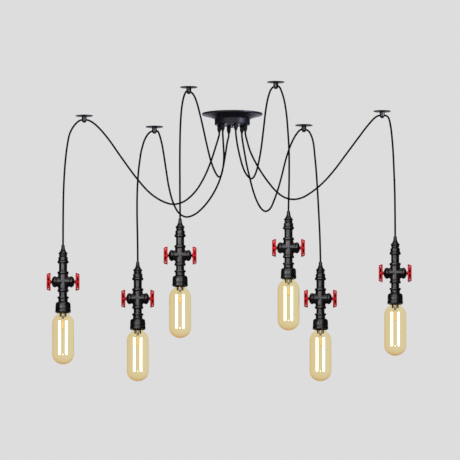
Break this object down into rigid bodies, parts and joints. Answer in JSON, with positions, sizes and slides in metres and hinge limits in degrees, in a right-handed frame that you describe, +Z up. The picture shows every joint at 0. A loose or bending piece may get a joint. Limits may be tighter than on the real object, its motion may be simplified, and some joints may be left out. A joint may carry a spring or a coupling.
{
  "type": "spider pendant light",
  "caption": "Ceiling canopy feeding cords over ceiling hooks to hanging pipe-fitting pendants with turning valve handwheels and long tubular filament bulbs.",
  "frame": {"origin": "on the ceiling at the centre of the canopy, on the top face of its bracket", "axes": "+Z up into the ceiling, +X to the right of the view, +Y away from the viewer"},
  "size_m": [1.0404, 1.1884, 0.7303],
  "materials": {
    "canopy_paint": "satin, fine texture",
    "black_pipe": "satin black",
    "plain_steel": "zinc plated",
    "terminal_plastic": "matt",
    "cord_fabric": "woven textile",
    "red_enamel": "gloss enamel",
    "amber_glass": "clear amber tint",
    "lamp_core": "nickel cap with glass stem and gold filaments"
  },
  "bodies": {
    "root": {"canopy_shell": "canopy_paint", "ceiling_bracket": "plain_steel", "canopy_nut": "plain_steel", "terminal_block": "terminal_plastic", "canopy_gland_1": "black_pipe", "ceiling_hook_1": "black_pipe", "cord_1": "cord_fabric", "pendant_1_pipework": "black_pipe", "pendant_1_socket": "black_pipe", "pendant_1_bulb_glass": "amber_glass", "pendant_1_bulb_core": "lamp_core", "canopy_gland_2": "black_pipe", "ceiling_hook_2": "black_pipe", "cord_2": "cord_fabric", "pendant_2_pipework": "black_pipe", "pendant_2_socket": "black_pipe", "pendant_2_bulb_glass": "amber_glass", "pendant_2_bulb_core": "lamp_core", "canopy_gland_3": "black_pipe", "ceiling_hook_3": "black_pipe", "cord_3": "cord_fabric", "pendant_3_pipework": "black_pipe", "pendant_3_socket": "black_pipe", "pendant_3_bulb_glass": "amber_glass", "pendant_3_bulb_core": "lamp_core", "canopy_gland_4": "black_pipe", "ceiling_hook_4": "black_pipe", "cord_4": "cord_fabric", "pendant_4_pipework": "black_pipe", "pendant_4_socket": "black_pipe", "pendant_4_bulb_glass": "amber_glass", "pendant_4_bulb_core": "lamp_core", "canopy_gland_5": "black_pipe", "ceiling_hook_5": "black_pipe", "cord_5": "cord_fabric", "pendant_5_pipework": "black_pipe", "pendant_5_socket": "black_pipe", "pendant_5_bulb_glass": "amber_glass", "pendant_5_bulb_core": "lamp_core", "canopy_gland_6": "black_pipe", "ceiling_hook_6": "black_pipe", "cord_6": "cord_fabric", "pendant_6_pipework": "black_pipe", "pendant_6_socket": "black_pipe", "pendant_6_bulb_glass": "amber_glass", "pendant_6_bulb_core": "lamp_core"},
    "pendant_1_wheel_left": {"pendant_1_wheel_left": "red_enamel"},
    "pendant_1_wheel_right": {"pendant_1_wheel_right": "red_enamel"},
    "pendant_2_wheel_left": {"pendant_2_wheel_left": "red_enamel"},
    "pendant_2_wheel_right": {"pendant_2_wheel_right": "red_enamel"},
    "pendant_3_wheel_left": {"pendant_3_wheel_left": "red_enamel"},
    "pendant_3_wheel_right": {"pendant_3_wheel_right": "red_enamel"},
    "pendant_4_wheel_left": {"pendant_4_wheel_left": "red_enamel"},
    "pendant_4_wheel_right": {"pendant_4_wheel_right": "red_enamel"},
    "pendant_5_wheel_left": {"pendant_5_wheel_left": "red_enamel"},
    "pendant_5_wheel_right": {"pendant_5_wheel_right": "red_enamel"},
    "pendant_6_wheel_left": {"pendant_6_wheel_left": "red_enamel"},
    "pendant_6_wheel_right": {"pendant_6_wheel_right": "red_enamel"}
  },
  "joints": [
    {"name": "pendant_1_wheel_left_turn", "type": "hinge", "parent": "root", "child": "pendant_1_wheel_left", "pos_m": [-0.51887, 0.05434, -0.4768], "axis": [1, 0, 0], "continuous": true},
    {"name": "pendant_1_wheel_right_turn", "type": "hinge", "parent": "root", "child": "pendant_1_wheel_right", "pos_m": [-0.44587, 0.05434, -0.4768], "axis": [1, 0, 0], "continuous": true},
    {"name": "pendant_2_wheel_left_turn", "type": "hinge", "parent": "root", "child": "pendant_2_wheel_left", "pos_m": [-0.306, 0.34585, -0.4894], "axis": [1, 0, 0], "continuous": true},
    {"name": "pendant_2_wheel_right_turn", "type": "hinge", "parent": "root", "child": "pendant_2_wheel_right", "pos_m": [-0.233, 0.34585, -0.4894], "axis": [1, 0, 0], "continuous": true},
    {"name": "pendant_3_wheel_left_turn", "type": "hinge", "parent": "root", "child": "pendant_3_wheel_left", "pos_m": [-0.18532, -0.66231, -0.4892], "axis": [1, 0, 0], "continuous": true},
    {"name": "pendant_3_wheel_right_turn", "type": "hinge", "parent": "root", "child": "pendant_3_wheel_right", "pos_m": [-0.11232, -0.66231, -0.4892], "axis": [1, 0, 0], "continuous": true},
    {"name": "pendant_4_wheel_left_turn", "type": "hinge", "parent": "root", "child": "pendant_4_wheel_left", "pos_m": [0.12363, -0.78013, -0.4818], "axis": [1, 0, 0], "continuous": true},
    {"name": "pendant_4_wheel_right_turn", "type": "hinge", "parent": "root", "child": "pendant_4_wheel_right", "pos_m": [0.19663, -0.78013, -0.4818], "axis": [1, 0, 0], "continuous": true},
    {"name": "pendant_5_wheel_left_turn", "type": "hinge", "parent": "root", "child": "pendant_5_wheel_left", "pos_m": [0.21476, 0.31256, -0.4934], "axis": [1, 0, 0], "continuous": true},
    {"name": "pendant_5_wheel_right_turn", "type": "hinge", "parent": "root", "child": "pendant_5_wheel_right", "pos_m": [0.28776, 0.31256, -0.4934], "axis": [1, 0, 0], "continuous": true},
    {"name": "pendant_6_wheel_left_turn", "type": "hinge", "parent": "root", "child": "pendant_6_wheel_left", "pos_m": [0.42772, -0.06257, -0.4664], "axis": [1, 0, 0], "continuous": true},
    {"name": "pendant_6_wheel_right_turn", "type": "hinge", "parent": "root", "child": "pendant_6_wheel_right", "pos_m": [0.50072, -0.06257, -0.4664], "axis": [1, 0, 0], "continuous": true}
  ]
}
